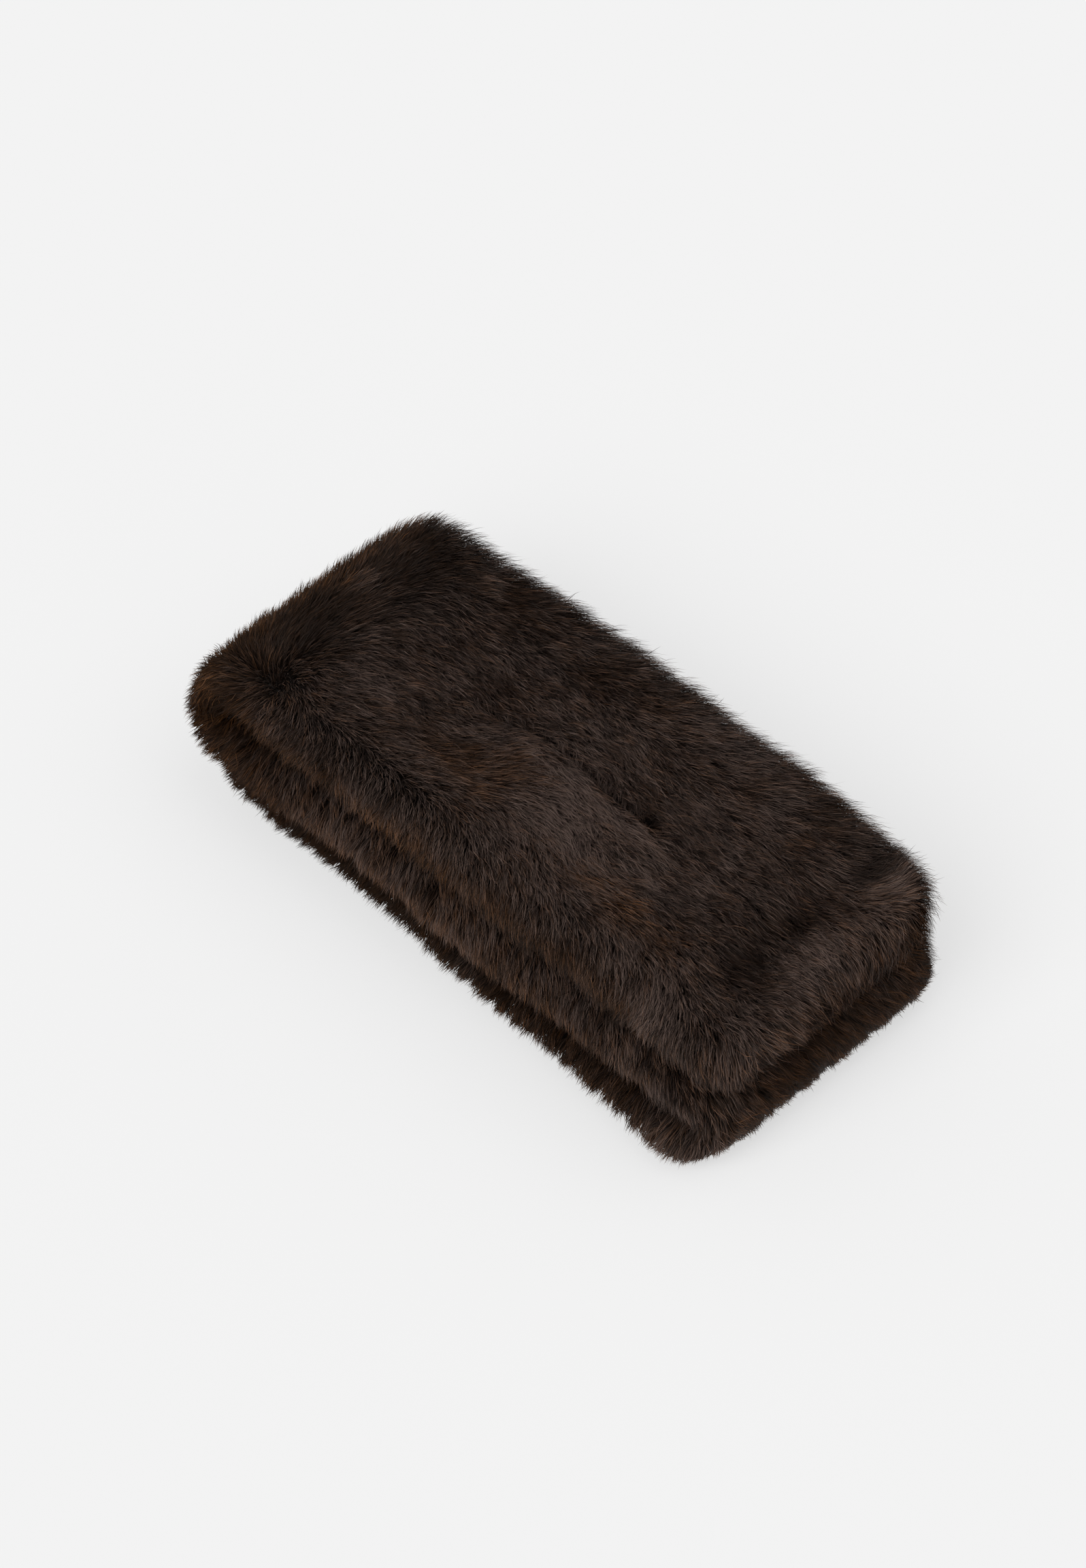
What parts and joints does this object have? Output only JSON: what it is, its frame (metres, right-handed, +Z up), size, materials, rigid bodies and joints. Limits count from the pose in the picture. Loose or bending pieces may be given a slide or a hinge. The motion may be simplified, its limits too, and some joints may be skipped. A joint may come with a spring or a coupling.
{
  "type": "folded fur collar wrap",
  "caption": "Dark brown plush fur scarf for the collar, furred on both faces, with a pull-through slit near one end, folded in three and lying flat.",
  "frame": {"origin": "centre of the underside that rests on the surface, at the middle of the whole outline", "axes": "+X along the folded strip towards its free end on top, +Y across it to the far long edge, +Z up"},
  "size_m": [0.3314, 0.1588, 0.0889],
  "materials": {
    "fur": "soft plush pile, dark brown"
  },
  "bodies": {
    "root": {"top_stretch": "fur", "middle_stretch": "fur", "bottom_stretch": "fur"}
  },
  "joints": []
}
